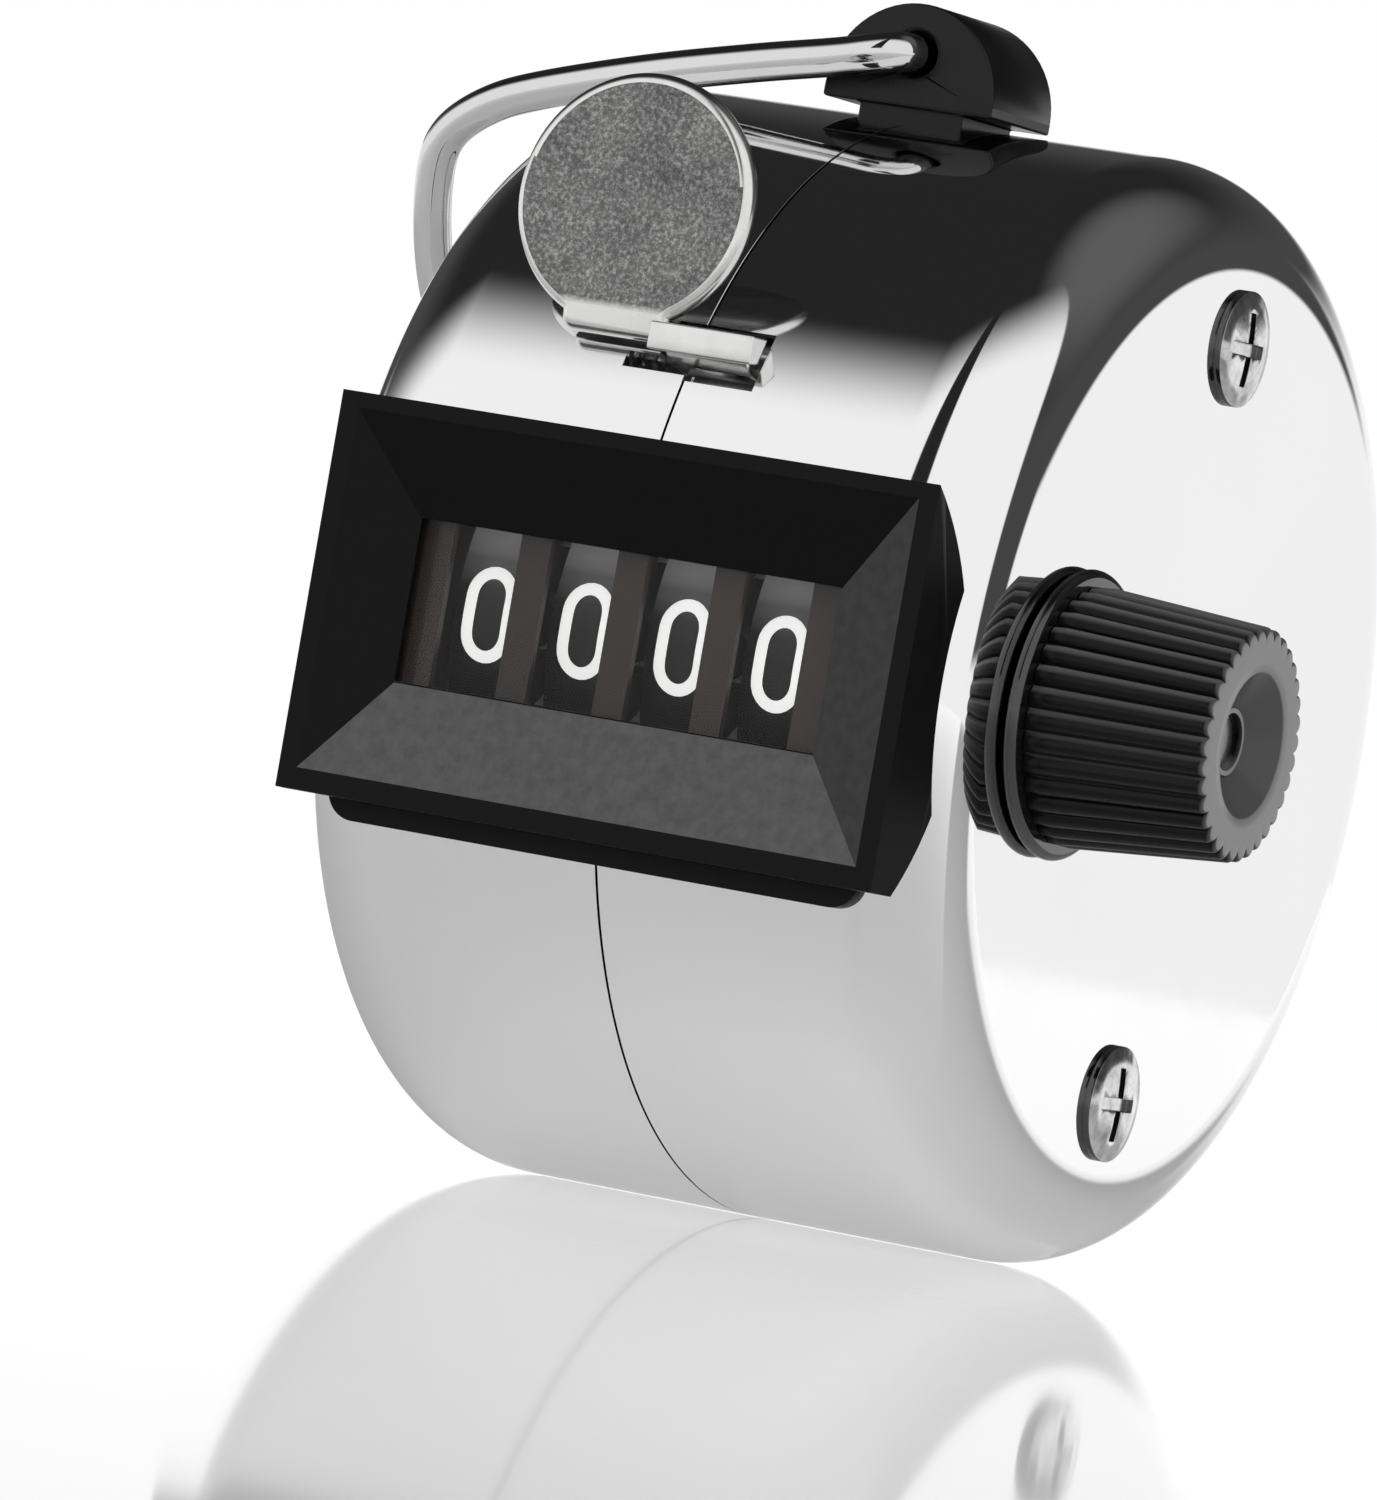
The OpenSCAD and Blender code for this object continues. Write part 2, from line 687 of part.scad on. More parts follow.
// A number wheel about x = 0, in its own axle's frame.
module wheel(has_gear, has_carry) {
    rim_t = 0.9;
    web_t = 0.9;
    carry_r = 4.7;
    carry_tip = 5.75;
    side = rim_w / 2;
    difference() {
        union() {
            difference() {
                bar(0, 0, -side, rim_w, wheel_r);
                bar(0, 0, -side - 1, rim_w + 2, wheel_r - rim_t);
            }
            bar(0, 0, -web_t / 2, web_t, wheel_r - rim_t / 2);
            bar(0, 0, -hub_w / 2, hub_w, hub_r);
            // Gear that the carry pinion drives.
            if (has_gear) slab(side, side_gear_w) rotate(45) gear_outline(gear_teeth, 0.3);
            // Two carry teeth that move the next pinion once a turn.
            if (has_carry) slab(-side - side_gear_w, side_gear_w) {
                circle(carry_r);
                for (turn = [-9, 9]) rotate(turn + 135)
                    polygon([[carry_r - 0.5, -0.4], [carry_tip, -0.2], [carry_tip, 0.2], [carry_r - 0.5, 0.4]]);
            }
        }
        bar(0, 0, -5, 10, shaft_r + running_gap);
        // Slot for the reset dog's tip.
        box([0.55, -0.3, 0], [1.4, 0.3, hub_r + 0.5]);
    }
}

module wheel_at(i) {
    translate([wheel_x[i], axle_y, axle_z]) wheel(i > 0, i < 3);
}

module units_wheel() {
    color("#161616") placed() wheel_at(0);
}

module tens_wheel() {
    color("#161616") placed() wheel_at(1);
}

module hundreds_wheel() {
    color("#161616") placed() wheel_at(2);
}

module thousands_wheel() {
    color("#161616") placed() wheel_at(3);
}

// Spring dog round a wheel's hub, whose tip rides on the shaft and finds its groove.
module reset_dog(i) {
    dog_t = 0.3;
    arc = 230;
    translate([wheel_x[i] + 0.65, axle_y, axle_z]) rotate([0, 90, 0]) {
        rotate(180 - 6) rotate_extrude(angle = arc) translate([hub_r + 0.02, 0]) square([dog_t, 0.6]);
        translate([-hub_r - dog_t, -0.2, 0]) cube([hub_r + dog_t - shaft_r - 0.08, 0.4, 0.6]);
    }
}

module units_reset_dog() {
    color("gold") placed() reset_dog(0);
}

module tens_reset_dog() {
    color("gold") placed() reset_dog(1);
}

module hundreds_reset_dog() {
    color("gold") placed() reset_dog(2);
}

module thousands_reset_dog() {
    color("gold") placed() reset_dog(3);
}

// Ten-tooth ratchet on the units wheel's hub.
module units_ratchet() {
    teeth = 10;
    root = ratchet_r - 1.3;
    color("dimgray") placed() translate([0, axle_y, axle_z]) difference() {
        union() {
            slab(ratchet_x, ratchet_w) union() {
                circle(root);
                for (i = [0:teeth - 1]) rotate(36 * i)
                    polygon([[0, 0], [ratchet_r, 0], [root * cos(36), root * sin(36)]]);
            }
            bar(0, 0, wheel_x[0] + hub_w / 2, ratchet_x - wheel_x[0] - hub_w / 2 + 0.2, hub_r);
        }
        bar(0, 0, 5, 10, shaft_r + running_gap);
    }
}

// Leaf that keeps the ratchet from turning back.
module detent_spring() {
    color("silver") placed() difference() {
        slab(ratchet_x, ratchet_w) union() {
            translate(spacers[1]) circle(1.4);
            polygon([[-0.9, 1.38], [-4.4, -1.9], [-4.75, -2.7], [-4.35, -2.75], [-4.1, -2.1], [-0.9, 0.9]]);
        }
        bar(spacers[1][0], spacers[1][1], ratchet_x - 1, ratchet_w + 2, spacer_r);
    }
}

module pinion_shaft() {
    end = plate_x + plate_t;
    color("silver") placed() bar(pinion_y, pinion_z, -end, 2 * end, pinion_shaft_r);
}

// Carry pinion between wheel i - 1 and wheel i, in mesh with the gear of wheel i.
module carry_pinion(i) {
    gap_x = wheel_x[i] + rim_w / 2;
    gap_w = wheel_pitch - rim_w;
    translate([gap_x + (gap_w - pinion_w) / 2, pinion_y, pinion_z]) difference() {
        slab(0, pinion_w) rotate(-45 + 180 + 360 / pinion_teeth / 2) gear_outline(pinion_teeth, 0.25);
        bar(0, 0, -1, pinion_w + 2, pinion_shaft_r + running_gap);
    }
}

module tens_pinion() {
    color("ivory") placed() carry_pinion(1);
}

module hundreds_pinion() {
    color("ivory") placed() carry_pinion(2);
}

module thousands_pinion() {
    color("ivory") placed() carry_pinion(3);
}

left_shell();
right_shell();
case_pillars();
case_screws();
bezel();
window_lens();
digit_mask();
ring_block();
finger_ring();
frame_left_plate();
frame_right_plate();
frame_spacers();
knob_bushing();
lever_pin();
thumb_lever();
lever_spring();
pawl_pin();
drive_pawl();
pawl_spring();
number_shaft();
shaft_clip();
reset_knob();
units_wheel();
tens_wheel();
hundreds_wheel();
thousands_wheel();
units_ratchet();
detent_spring();
units_reset_dog();
tens_reset_dog();
hundreds_reset_dog();
thousands_reset_dog();
pinion_shaft();
tens_pinion();
hundreds_pinion();
thousands_pinion();
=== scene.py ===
import json
import math

import bmesh
import bpy
from mathutils import Matrix, Vector

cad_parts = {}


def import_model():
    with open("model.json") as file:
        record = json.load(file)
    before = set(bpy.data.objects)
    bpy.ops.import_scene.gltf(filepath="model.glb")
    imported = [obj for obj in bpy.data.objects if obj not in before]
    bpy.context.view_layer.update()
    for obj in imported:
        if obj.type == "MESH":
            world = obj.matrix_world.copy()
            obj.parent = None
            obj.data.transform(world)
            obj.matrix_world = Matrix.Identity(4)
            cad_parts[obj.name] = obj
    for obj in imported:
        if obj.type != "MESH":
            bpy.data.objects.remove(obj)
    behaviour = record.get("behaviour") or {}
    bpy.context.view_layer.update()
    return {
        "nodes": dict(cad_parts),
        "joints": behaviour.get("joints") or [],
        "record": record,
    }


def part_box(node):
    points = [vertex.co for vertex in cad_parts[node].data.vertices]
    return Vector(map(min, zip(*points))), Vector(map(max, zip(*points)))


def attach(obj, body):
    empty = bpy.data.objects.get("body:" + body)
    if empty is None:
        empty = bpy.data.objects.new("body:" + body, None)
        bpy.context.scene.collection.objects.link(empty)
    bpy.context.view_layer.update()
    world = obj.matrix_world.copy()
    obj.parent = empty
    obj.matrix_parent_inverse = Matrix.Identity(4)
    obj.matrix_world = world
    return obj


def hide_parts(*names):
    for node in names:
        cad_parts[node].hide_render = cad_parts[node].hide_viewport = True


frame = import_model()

# Looks of the hand tally counter. Sizes are in millimetres and places are counted from the drum's centre,
# with +X towards the reset knob, -Y out of the window and +Z up, until at() turns them into metres.

MM = 0.001
NODES = frame["nodes"]
SCENE = bpy.context.scene


# --- places taken from the frame ------------------------------------------

SHELL_LOW, SHELL_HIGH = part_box("right_shell")
DRUM_R = (SHELL_HIGH.z - SHELL_LOW.z) / 2
HALF_W = (SHELL_HIGH.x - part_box("left_shell")[0].x) / 2
DRUM = Vector((SHELL_HIGH.x - HALF_W, SHELL_HIGH.y - DRUM_R, (SHELL_LOW.z + SHELL_HIGH.z) / 2))


def at(x, y, z):
    """A place given in millimetres from the drum's centre, in metres."""
    return DRUM + Vector((x, y, z)) * MM


def from_drum(place):
    """A place given in metres, in millimetres from the drum's centre."""
    return (place - DRUM) / MM


def corners(node):
    """Low and high corner of a CAD node."""
    low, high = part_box(node)
    return from_drum(low), from_drum(high)


def joint_at(name):
    """A joint's place in metres."""
    return Vector(next(j["pos_m"] for j in frame["joints"] if j["name"] == name))


# --- materials ------------------------------------------------------------

MIX_A, MIX_B, MIX_OUT = 6, 7, 2  # the colour sockets of a Mix node


def grey(tone):
    return (tone, tone, tone)


def scaled(colour, amount):
    return tuple(c * amount for c in colour)


class Look:
    """A node material with short names for the nodes it needs."""

    def __init__(self, name, **values):
        self.material = bpy.data.materials.new(name)
        self.material.use_nodes = True
        self.tree = self.material.node_tree
        self.shader = self.tree.nodes["Principled BSDF"]
        self.place = self.add("ShaderNodeTexCoord").outputs["Object"]
        for key, value in values.items():
            self.shader.inputs[key.replace("_", " ")].default_value = value

    def add(self, kind, **settings):
        node = self.tree.nodes.new(kind)
        for key, value in settings.items():
            setattr(node, key, value)
        return node

    def link(self, a, b):
        self.tree.links.new(a, b)

    def noise(self, scale, detail=4, rough=0.5, stretch=(1, 1, 1)):
        mapping = self.add("ShaderNodeMapping")
        mapping.inputs["Scale"].default_value = stretch
        self.link(self.place, mapping.inputs["Vector"])
        node = self.add("ShaderNodeTexNoise")
        node.inputs["Scale"].default_value = scale
        node.inputs["Detail"].default_value = detail
        node.inputs["Roughness"].default_value = rough
        self.link(mapping.outputs["Vector"], node.inputs["Vector"])
        return node.outputs["Fac"]

    def spread(self, value, low, high, start=0.0, stop=1.0):
        """Low to high as the value goes from start to stop."""
        node = self.add("ShaderNodeMapRange")
        node.inputs["From Min"].default_value = start
        node.inputs["From Max"].default_value = stop
        node.inputs["To Min"].default_value = low
        node.inputs["To Max"].default_value = high
        self.link(value, node.inputs["Value"])
        return node.outputs["Result"]

    def ramp(self, value, *stops):
        node = self.add("ShaderNodeValToRGB")
        while len(node.color_ramp.elements) < len(stops):
            node.color_ramp.elements.new(0.5)
        for element, (position, colour) in zip(node.color_ramp.elements, stops):
            element.position = position
            element.color = (*colour, 1)
        self.link(value, node.inputs["Fac"])
        return node.outputs["Color"]

    def part(self, vector, axis):
        node = self.add("ShaderNodeSeparateXYZ")
        self.link(vector, node.inputs[0])
        return node.outputs[axis]

    def facing(self, axis):
        """How far the surface faces along an axis of the object, from -1 to 1."""
        return self.part(self.add("ShaderNodeTexCoord").outputs["Normal"], axis)

    def painted_light_by_rise(self, *stops):
        """Painted light and shade: colours from facing straight down, at 0, to facing straight up, at 1."""
        return self.ramp(self.spread(self.facing("Z"), 0, 1, -1, 1), *stops)

    def along(self, axis, low, high):
        """0 before one place along an axis of the frame and 1 after another, both in metres."""
        return self.spread(self.part(self.place, axis), 0.0, 1.0, low, high)

    def product(self, a, b):
        node = self.add("ShaderNodeMath", operation="MULTIPLY")
        self.link(a, node.inputs[0])
        self.link(b, node.inputs[1])
        return node.outputs[0]

    def mix(self, amount, a, b, blend="MIX"):
        """Two colours mixed by an amount. Each of the three is a value or another node's output."""
        node = self.add("ShaderNodeMix", data_type="RGBA", blend_type=blend)
        for key, value in {"Factor": amount, MIX_A: a, MIX_B: b}.items():
            socket = node.inputs[key]
            if isinstance(value, float):
                socket.default_value = value
            elif isinstance(value, tuple):
                socket.default_value = (*value, 1)
            else:
                self.link(value, socket)
        return node.outputs[MIX_OUT]

    def colour(self, source):
        self.link(source, self.shader.inputs["Base Color"])

    def rough(self, source, low, high, start=0.0, stop=1.0):
        self.link(self.spread(source, low, high, start, stop), self.shader.inputs["Roughness"])

    def bump(self, height, strength, depth=0.02):
        """Bumps of a depth in millimetres."""
        node = self.add("ShaderNodeBump")
        node.inputs["Strength"].default_value = strength
        node.inputs["Distance"].default_value = depth * MM
        self.link(height, node.inputs["Height"])
        self.link(node.outputs["Normal"], self.shader.inputs["Normal"])


def chrome(name, tone=0.86, smudge=0.05):
    """Bright plating, a little cloudy, with faint smudges."""
    look = Look(name, Metallic=1.0)
    look.colour(look.ramp(look.noise(90, 3), (0.3, grey(tone * 0.985)), (0.7, grey(tone))))
    look.rough(look.noise(260, 6, 0.6), 0.02, 0.02 + smudge, 0.35, 0.75)
    look.bump(look.noise(900, 2), 0.02)
    return look.material


def metal(name, colour, rough):
    """Bare or plated metal with a drawn grain."""
    look = Look(name, Metallic=1.0)
    grain = look.noise(500, 5, 0.6, stretch=(6, 1, 1))
    look.colour(look.ramp(grain, (0.3, scaled(colour, 0.85)), (0.7, colour)))
    look.rough(grain, rough * 0.8, rough * 1.2)
    look.bump(grain, 0.1)
    return look.material


def plastic(name, colour, rough, **values):
    """Moulded plastic or paint with a fine grain."""
    look = Look(name, **values)
    speck = look.noise(2500, 3, 0.6)
    look.colour(look.ramp(look.noise(120, 3), (0.3, scaled(colour, 0.8)), (0.7, scaled(colour, 1.15))))
    look.rough(speck, rough * 0.85, rough * 1.2)
    look.bump(speck, 0.08)
    return look.material


def bezel_plastic_with_painted_shade(name):
    """Black moulding with painted shade: greyer where its surround faces up or to the left, near black where
    it faces down.
    """
    look = Look(name, Specular_IOR_Level=0.12)
    speck = look.noise(1800, 4, 0.65)
    # Painted shade: near black where the surround faces down or sideways, grey where it faces up.
    rise = look.painted_light_by_rise((0.35, grey(0.001)), (0.5, grey(0.004)), (0.62, grey(0.12)), (1.0, grey(0.26)))
    # Painted shade: a lighter grey where the surround faces left.
    faces_left = look.spread(look.facing("X"), 0.0, 1.0, -0.2, -0.5)
    tone = look.mix(faces_left, rise, (0.13, 0.13, 0.133))
    grain = look.ramp(speck, (0.3, grey(0.8)), (0.7, grey(1.15)))
    look.colour(look.mix(1.0, tone, grain, "MULTIPLY"))
    look.rough(speck, 0.3, 0.45)
    look.bump(speck, 0.08)
    return look.material


def knob_plastic_with_painted_light(name):
    """Black ribs with painted highlights on those that face up, and a painted reflection that makes the end
    face pale and its recess grey.
    """
    look = Look(name, Specular_IOR_Level=0.18)
    speck = look.noise(1500, 4, 0.6)
    # Painted highlight: grey on ribs that face up, near black on the rest.
    ribs = look.painted_light_by_rise((0.0, grey(0.012)), (0.35, grey(0.002)), (0.7, grey(0.006)), (0.95, grey(0.16)))
    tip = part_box("reset_knob")[1].x
    # Painted reflection: pale where the end face looks straight out, grey on the recess's sloping wall.
    faces_out = look.spread(look.facing("X"), 0.0, 1.0, 0.3, 0.95)
    end = look.product(faces_out, look.along("X", tip - 2.6 * MM, tip - 2.0 * MM))
    flat = look.spread(look.facing("X"), 0.0, 1.0, 0.85, 0.97)
    look.colour(look.mix(end, ribs, look.mix(flat, grey(0.12), grey(0.30))))
    look.rough(speck, 0.16, 0.3)
    look.bump(speck, 0.05)
    return look.material


def wheel_plastic_with_painted_highlight(name):
    """Black rim with a painted highlight: greyer where it faces up, however far the wheel is turned."""
    look = Look(name, Specular_IOR_Level=0.3)
    # Painted highlight: grey turning near white where the rim faces up in the world.
    rise = look.part(look.add("ShaderNodeNewGeometry").outputs["Normal"], "Z")
    look.colour(look.ramp(rise, (0.0, grey(0.004)), (0.12, grey(0.02)), (0.25, grey(0.2)), (0.4, grey(0.95))))
    speck = look.noise(2500, 3, 0.6)
    look.rough(speck, 0.25, 0.4)
    look.bump(speck, 0.06)
    return look.material


def screw_chrome(name):
    """Plated head with painted shade: its walls and its recess are dark grey, and only faces that look out
    along X keep the plating's cloudy tone.
    """
    look = Look(name, Metallic=1.0)
    cloud = look.noise(900, 5, 0.65)
    face = look.ramp(cloud, (0.35, grey(0.45)), (0.6, grey(0.8)))
    # Painted shade: dark grey on the head's walls and in its recess.
    flat = look.spread(look.facing("X"), 0.0, 1.0, 0.55, 0.9)
    look.colour(look.mix(flat, grey(0.1), face))
    look.rough(cloud, 0.08, 0.25)
    look.bump(cloud, 0.12, depth=0.04)
    return look.material


def blasted_nickel(name):
    """Speckled face of the thumb pad, which turns smooth and bright on the neck below."""
    look = Look(name, Metallic=1.0)
    speck = look.noise(6000, 5, 0.8)
    shade = look.ramp(look.noise(420, 5, 0.65), (0.3, grey(0.16)), (0.7, (0.26, 0.26, 0.255)))
    flecks = look.ramp(speck, (0.42, grey(0.6)), (0.52, grey(1.0)), (0.62, grey(1.9)))
    upper = look.along("Z", *(DRUM.z + height * MM for height in NECK_TOP))
    look.colour(look.mix(upper, (0.72, 0.72, 0.71), look.mix(1.0, shade, flecks, "MULTIPLY")))
    look.rough(upper, 0.2, 0.42)
    look.bump(speck, 0.5, depth=0.04)
    return look.material


def smooth_nickel(name):
    """Bright nickel with a soft shine."""
    look = Look(name, Metallic=1.0)
    cloud = look.noise(700, 4, 0.6)
    look.colour(look.ramp(cloud, (0.3, (0.70, 0.70, 0.69)), (0.7, (0.80, 0.80, 0.79))))
    look.rough(look.noise(1500, 3), 0.16, 0.28)
    look.bump(cloud, 0.05)
    return look.material


def clear_lens(name):
    """Thin clear sheet: see-through, with a faint polish in place of the usual shader."""
    look = Look(name)
    clear = look.add("ShaderNodeBsdfTransparent")
    clear.inputs["Color"].default_value = (*grey(0.98), 1)
    polish = look.add("ShaderNodeBsdfGlossy")
    look.link(look.spread(look.noise(300, 3), 0.03, 0.08), polish.inputs["Roughness"])
    both = look.add("ShaderNodeMixShader")
    both.inputs["Fac"].default_value = 0.012
    look.link(clear.outputs[0], both.inputs[1])
    look.link(polish.outputs[0], both.inputs[2])
    look.link(both.outputs[0], look.tree.nodes["Material Output"].inputs["Surface"])
    return look.material


NECK_TOP = (12.05, 12.35)  # heights between which the thumb pad's neck turns into its speckled face

CHROME = chrome("chrome_case")
RING_CHROME = chrome("ring_chrome", tone=0.7, smudge=0.04)
SCREW_CHROME = screw_chrome("screw_chrome")
NICKEL = blasted_nickel("blasted_nickel")
NICKEL_BRIGHT = smooth_nickel("bright_nickel")
# White print that also glows: painted light that keeps the figures bright behind the lens.
GLOWING_WHITE_PRINT = plastic("glowing_white_print", (0.9, 0.9, 0.88), 0.5,
                      Emission_Color=(1, 1, 0.98, 1), Emission_Strength=0.55)
BEZEL_BLACK = bezel_plastic_with_painted_shade("bezel_black")
BLOCK_BLACK = plastic("block_black", (0.006, 0.006, 0.007), 0.25, Specular_IOR_Level=0.25)
KNOB_BLACK = knob_plastic_with_painted_light("knob_black")
COLLAR_BLACK = plastic("collar_black", grey(0.006), 0.08, Specular_IOR_Level=1.0)
WHEEL_BLACK = wheel_plastic_with_painted_highlight("wheel_black")
MASK_BROWN = plastic("mask_brown", (0.035, 0.026, 0.022), 0.35, Specular_IOR_Level=0.3)
IVORY = plastic("pinion_ivory", (0.75, 0.70, 0.58), 0.4)
LENS = clear_lens("clear_lens")
ZINC = metal("zinc_steel", (0.62, 0.63, 0.64), 0.3)
HARD = metal("hard_steel", (0.35, 0.35, 0.36), 0.35)
SPRING = metal("spring_steel", (0.55, 0.55, 0.56), 0.25)
BRASS = metal("brass", (0.80, 0.60, 0.28), 0.28)

SLOT_LOOKS = {
    "chrome_case": CHROME, "screw_chrome": SCREW_CHROME, "ring_chrome": RING_CHROME, "satin_nickel": NICKEL,
    "bezel_black": BEZEL_BLACK, "block_black": BLOCK_BLACK, "knob_black": KNOB_BLACK, "clear_lens": LENS,
    "mask_brown": MASK_BROWN, "wheel_black": WHEEL_BLACK, "pinion_ivory": IVORY, "zinc_steel": ZINC,
    "hard_steel": HARD, "spring_steel": SPRING, "brass": BRASS,
}


def dress_cad_nodes():
    for row in frame["record"]["subparts"]:
        mesh = NODES[row["node"]].data
        mesh.materials.clear()
        mesh.materials.append(SLOT_LOOKS[row["material_slot"]])


def round_edges(node, width, steps=3):
    """Rounds the sharp edges of a CAD node with modifiers."""
    item = NODES[node]
    weld = item.modifiers.new("weld", "WELD")
    weld.merge_threshold = 1e-6
    soft = item.modifiers.new("round", "BEVEL")
    soft.width = width * MM
    soft.segments = steps
    soft.limit_method = "ANGLE"
    soft.angle_limit = math.radians(32)
    soft.harden_normals = True
    soft.use_clamp_overlap = True


# --- helpers for pieces ---------------------------------------------------

def piece(name, mesh, looks, body, stands_for=()):
    """Adds a mesh as a named piece that moves with a body and stands for CAD nodes."""
    item = bpy.data.objects.new(name, mesh)
    SCENE.collection.objects.link(item)
    for look in looks:
        mesh.materials.append(look)
    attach(item, body)
    for node in stands_for:
        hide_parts(node)


def shade(mesh, angle):
    """Smooth shading, apart from edges sharper than an angle in degrees."""
    mesh.shade_smooth()
    mesh.set_sharp_from_angle(angle=math.radians(angle))


def mesh_from(verts, faces, angle=None):
    """Closed mesh with its faces turned outwards; it stays flat-shaded if no angle is given."""
    mesh = bpy.data.meshes.new("mesh")
    mesh.from_pydata([tuple(v) for v in verts], [], faces)
    mesh.update()
    closed = bmesh.new()
    closed.from_mesh(mesh)
    bmesh.ops.remove_doubles(closed, verts=closed.verts, dist=1e-7)
    bmesh.ops.recalc_face_normals(closed, faces=closed.faces)
    closed.to_mesh(mesh)
    closed.free()
    if angle is not None:
        shade(mesh, angle)
    return mesh


def arc(cx, cy, r, start, stop, steps):
    return [(cx + r * math.cos(math.radians(start + (stop - start) * k / steps)),
             cy + r * math.sin(math.radians(start + (stop - start) * k / steps))) for k in range(steps + 1)]


def turned(profile, segments, centre=DRUM, reach=lambda x, r, turn: r):
    """Closed (x, r) profile turned about a line along X; reach() may change r on the way round."""
    verts, faces = [], []
    count = len(profile)
    for step in range(segments):
        turn = 2 * math.pi * step / segments
        for x, r in profile:
            out = reach(x, r, turn)
            verts.append(centre + Vector((x, out * math.cos(turn), out * math.sin(turn))) * MM)
    for step in range(segments):
        a, b = step * count, (step + 1) % segments * count
        for k in range(count):
            n = (k + 1) % count
            faces.append((a + k, a + n, b + n, b + k))
    return verts, faces


def prism(outline, x0, x1, rounding):
    """Outline of (y, z) points between two places along X, with its sharp edges rounded."""
    solid = bmesh.new()
    lower = [solid.verts.new(at(x0, y, z)) for y, z in outline]
    upper = [solid.verts.new(at(x1, y, z)) for y, z in outline]
    solid.faces.new(lower)
    solid.faces.new(upper)
    for k in range(len(outline)):
        n = (k + 1) % len(outline)
        solid.faces.new((lower[k], lower[n], upper[n], upper[k]))
    bmesh.ops.recalc_face_normals(solid, faces=solid.faces)
    sharp = [e for e in solid.edges if e.calc_face_angle(0) > math.radians(25)]
    bmesh.ops.bevel(solid, geom=sharp, offset=rounding * MM, segments=3, profile=0.5, affect="EDGES",
                    clamp_overlap=True)
    mesh = bpy.data.meshes.new("mesh")
    solid.to_mesh(mesh)
    solid.free()
    shade(mesh, 40)
    return mesh


def smooth_line(points, steps):
    """Catmull-Rom curve through the points."""
    line = []
    for k in range(len(points) - 1):
        a, b = points[max(k - 1, 0)], points[k]
        c, d = points[k + 1], points[min(k + 2, len(points) - 1)]
        for j in range(steps):
            u = j / steps
            line.append(b + 0.5 * u * (c - a + u * (2 * a - 5 * b + 4 * c - d + u * (3 * (b - c) + d - a))))
    return line + [points[-1]]


def tube(line, radius, sides=28):
    """Round tube along a line of points, with closed ends."""
    verts, faces = [], []
    side = Vector((0, 0, 1))
    for k, point in enumerate(line):
        along = (line[min(k + 1, len(line) - 1)] - line[max(k - 1, 0)]).normalized()
        side = (side - along * side.dot(along)).normalized()
        other = along.cross(side)
        for j in range(sides):
            turn = 2 * math.pi * j / sides
            verts.append(point + (side * math.cos(turn) + other * math.sin(turn)) * radius * MM)
    for k in range(len(line) - 1):
        for j in range(sides):
            n = (j + 1) % sides
            faces.append((k * sides + j, k * sides + n, (k + 1) * sides + n, (k + 1) * sides + j))
    faces.append(tuple(range(sides)))
    faces.append(tuple(range(len(verts) - sides, len(verts))))
    return verts, faces


def block(low, high):
    """Box between two corners."""
    verts = [at(x, y, z) for x in (low[0], high[0]) for y in (low[1], high[1]) for z in (low[2], high[2])]
    return verts, [(0, 1, 3, 2), (4, 6, 7, 5), (0, 4, 5, 1), (2, 3, 7, 6), (0, 2, 6, 4), (1, 5, 7, 3)]


def rod(y, z, x0, x1, r, segments=64):
    """Cylinder along X."""
    ring = arc(y, z, r, 0, 360 - 360 / segments, segments - 1)
    verts = [at(x, a, b) for x in (x0, x1) for a, b in ring]
    faces = [tuple(range(segments)), tuple(range(2 * segments - 1, segments - 1, -1))]
    faces += [(k, (k + 1) % segments, segments + (k + 1) % segments, segments + k) for k in range(segments)]
    return verts, faces


def cut(mesh, cutters):
    """Mesh less each (vertices, faces) solid."""
    item = bpy.data.objects.new("cut", mesh)
    SCENE.collection.objects.link(item)
    tools = []
    for verts, faces in cutters:
        tool = bpy.data.objects.new("tool", mesh_from(verts, faces))
        SCENE.collection.objects.link(tool)
        tools.append(tool)
        step = item.modifiers.new("cut", "BOOLEAN")
        step.operation = "DIFFERENCE"
        step.solver = "EXACT"
        step.object = tool
    bpy.context.view_layer.update()
    done = bpy.data.meshes.new_from_object(item.evaluated_get(bpy.context.evaluated_depsgraph_get()))
    for tool in tools + [item]:
        bpy.data.objects.remove(tool)
    return done


# --- case -----------------------------------------------------------------

CASE_R = DRUM_R / MM
CASE_HALF = HALF_W / MM
EDGE_R = 4.2
SHEET = 0.7
SEAM_HALF = 0.05
SEAM_ROUND = 0.015
AXIS_R = 0.02  # the outline stops just short of the axis, so that no two of its turned corners meet

# The right shell's lip, which the left shell slides over.
LIP_HALF_W = 1.4
LIP_HALF_T = 0.34

# Openings: for the bezel's plug, the ring block's foot, the knob's bush and the screws.
PLUG_HALF_W, PLUG_HALF_H = 11.4, 6.8
FOOT_HALF_W, FOOT_HALF_D = 2.3, 2.4
BUSH_HOLE_R = 2.52
SCREW_HOLE_R = 1.3
SCREW_Y = -0.6
SCREW_REACH = 15

# The lever's slot, as (x, x, z, z) of its three steps: its lower edge is deeper in the right shell.
LEVER_SLOT = [(-2.75, -1.2, 9.97, 10.6), (-1.2, 0, 9.97, 12.05), (0, 2.95, 9.75, 12.05)]

# How far the cutting solids reach through the front along Y, the top along Z and the side along X.
FRONT_CUT = (-23, -14)
TOP_CUT = (16, 23)
SIDE_CUT = (11, 16)


